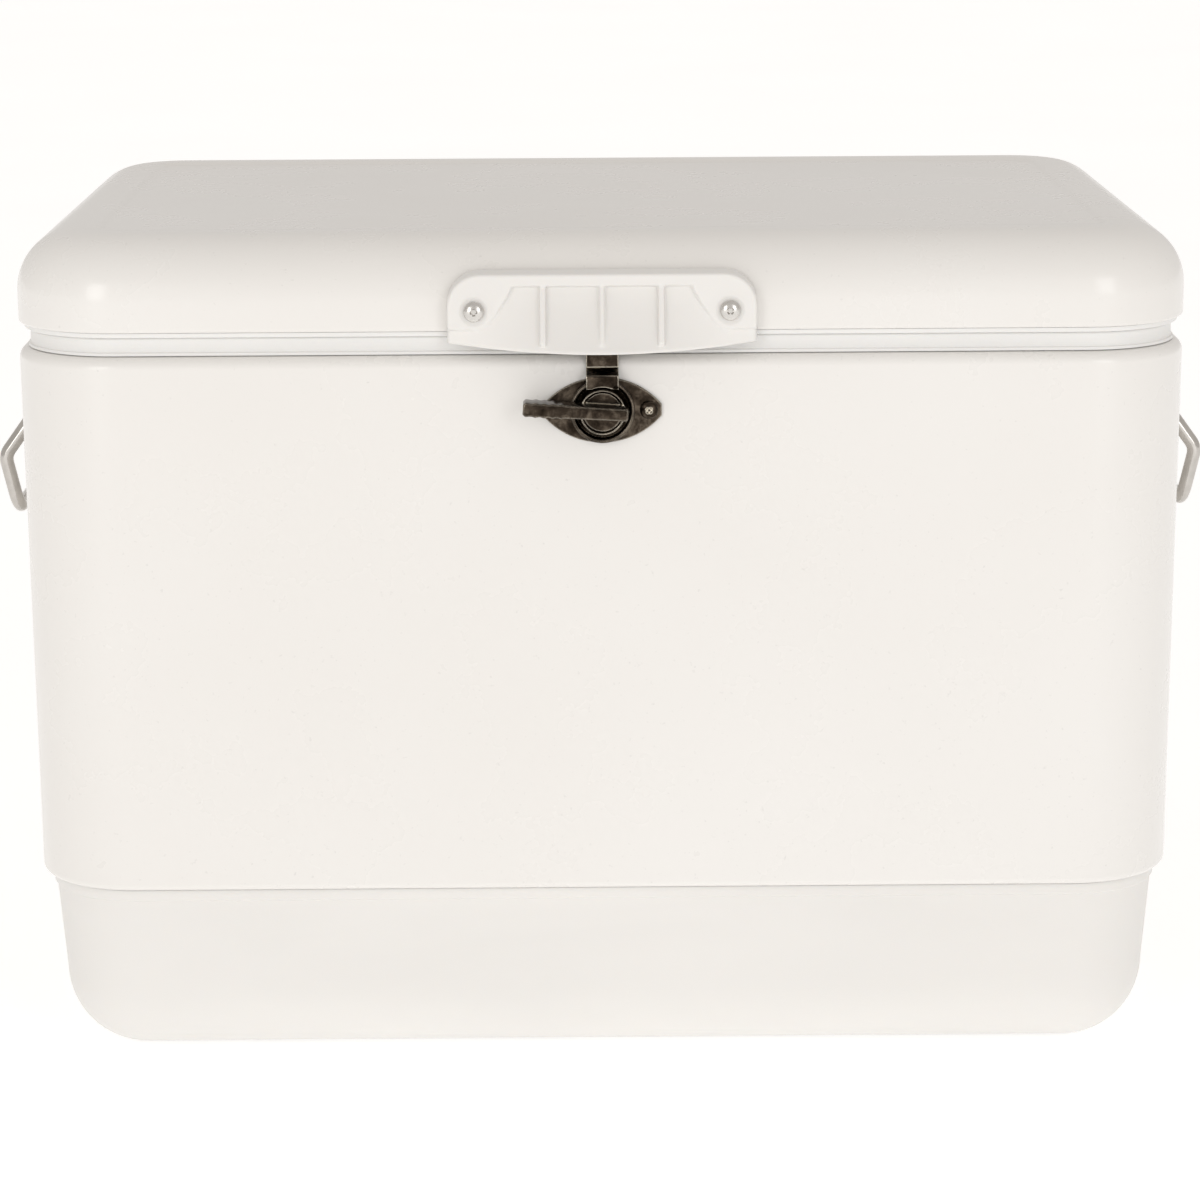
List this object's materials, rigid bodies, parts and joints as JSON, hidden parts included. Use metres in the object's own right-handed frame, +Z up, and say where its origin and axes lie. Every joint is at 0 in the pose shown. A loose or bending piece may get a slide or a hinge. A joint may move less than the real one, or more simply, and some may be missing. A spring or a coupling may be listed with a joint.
{
  "type": "cooler chest",
  "caption": "Insulated picnic cooler with a painted steel belt, moulded base, hinged lid with front pull, turn latch, swing-up side bails and a side drain.",
  "frame": {"origin": "centre of the flat underside of the base", "axes": "+X to the chest's right seen from the front, -Y out of the front face with the latch, +Z up"},
  "size_m": [0.6546, 0.4294, 0.4384],
  "materials": {
    "white_enamel": "gloss",
    "white_plastic": "satin",
    "liner_plastic": "satin",
    "foam": "matte",
    "dark_nickel": "satin",
    "zinc_steel": "satin",
    "chrome": "polished",
    "rubber": "matte"
  },
  "bodies": {
    "chest": {"base_tub": "white_plastic", "body_foam": "foam", "drain_gasket": "rubber", "drain_nut": "white_plastic", "drain_spout": "white_plastic", "inner_liner": "liner_plastic", "latch_housing": "dark_nickel", "latch_plate": "dark_nickel", "latch_screw_left": "dark_nickel", "latch_screw_right": "dark_nickel", "left_bracket_screw_1": "zinc_steel", "left_bracket_screw_2": "zinc_steel", "left_bracket_screw_3": "zinc_steel", "left_bracket_screw_4": "zinc_steel", "left_handle_bracket": "chrome", "left_hinge_body_leaf": "dark_nickel", "left_hinge_body_screw_1": "zinc_steel", "left_hinge_body_screw_2": "zinc_steel", "left_hinge_body_screw_3": "zinc_steel", "left_hinge_pin": "zinc_steel", "right_bracket_screw_1": "zinc_steel", "right_bracket_screw_2": "zinc_steel", "right_bracket_screw_3": "zinc_steel", "right_bracket_screw_4": "zinc_steel", "right_handle_bracket": "chrome", "right_hinge_body_leaf": "dark_nickel", "right_hinge_body_screw_1": "zinc_steel", "right_hinge_body_screw_2": "zinc_steel", "right_hinge_body_screw_3": "zinc_steel", "right_hinge_pin": "zinc_steel", "steel_belt": "white_enamel"},
    "lid": {"catch_rivet_left": "zinc_steel", "catch_rivet_right": "zinc_steel", "catch_strap": "dark_nickel", "left_hinge_lid_leaf": "dark_nickel", "left_hinge_lid_screw_1": "zinc_steel", "left_hinge_lid_screw_2": "zinc_steel", "left_hinge_lid_screw_3": "zinc_steel", "lid_foam": "foam", "lid_handle": "white_plastic", "lid_handle_screw_left": "zinc_steel", "lid_handle_screw_right": "zinc_steel", "lid_liner": "liner_plastic", "lid_shell": "white_enamel", "right_hinge_lid_leaf": "dark_nickel", "right_hinge_lid_screw_1": "zinc_steel", "right_hinge_lid_screw_2": "zinc_steel", "right_hinge_lid_screw_3": "zinc_steel"},
    "latch_lever": {"latch_lever": "dark_nickel", "latch_retainer": "zinc_steel"},
    "left_bail": {"left_bail": "chrome"},
    "right_bail": {"right_bail": "chrome"},
    "drain_cap": {"drain_cap": "white_plastic"}
  },
  "joints": [
    {"name": "lid_hinge", "type": "hinge", "parent": "chest", "child": "lid", "pos_m": [0, 0.2044, 0.3898], "axis": [-1, 0, 0], "range_deg": [0, 100]},
    {"name": "latch_turn", "type": "hinge", "parent": "chest", "child": "latch_lever", "pos_m": [0, -0.2, 0.3512], "axis": [0, -1, 0], "range_deg": [0, 90]},
    {"name": "left_bail_swing", "type": "hinge", "parent": "chest", "child": "left_bail", "pos_m": [-0.3068, 0, 0.327], "axis": [0, 1, 0], "range_deg": [0, 100]},
    {"name": "right_bail_swing", "type": "hinge", "parent": "chest", "child": "right_bail", "pos_m": [0.3068, 0, 0.327], "axis": [0, -1, 0], "range_deg": [0, 100]},
    {"name": "drain_cap_pull", "type": "slide", "parent": "chest", "child": "drain_cap", "axis": [1, 0, 0], "range_m": [0, 0.02]}
  ]
}
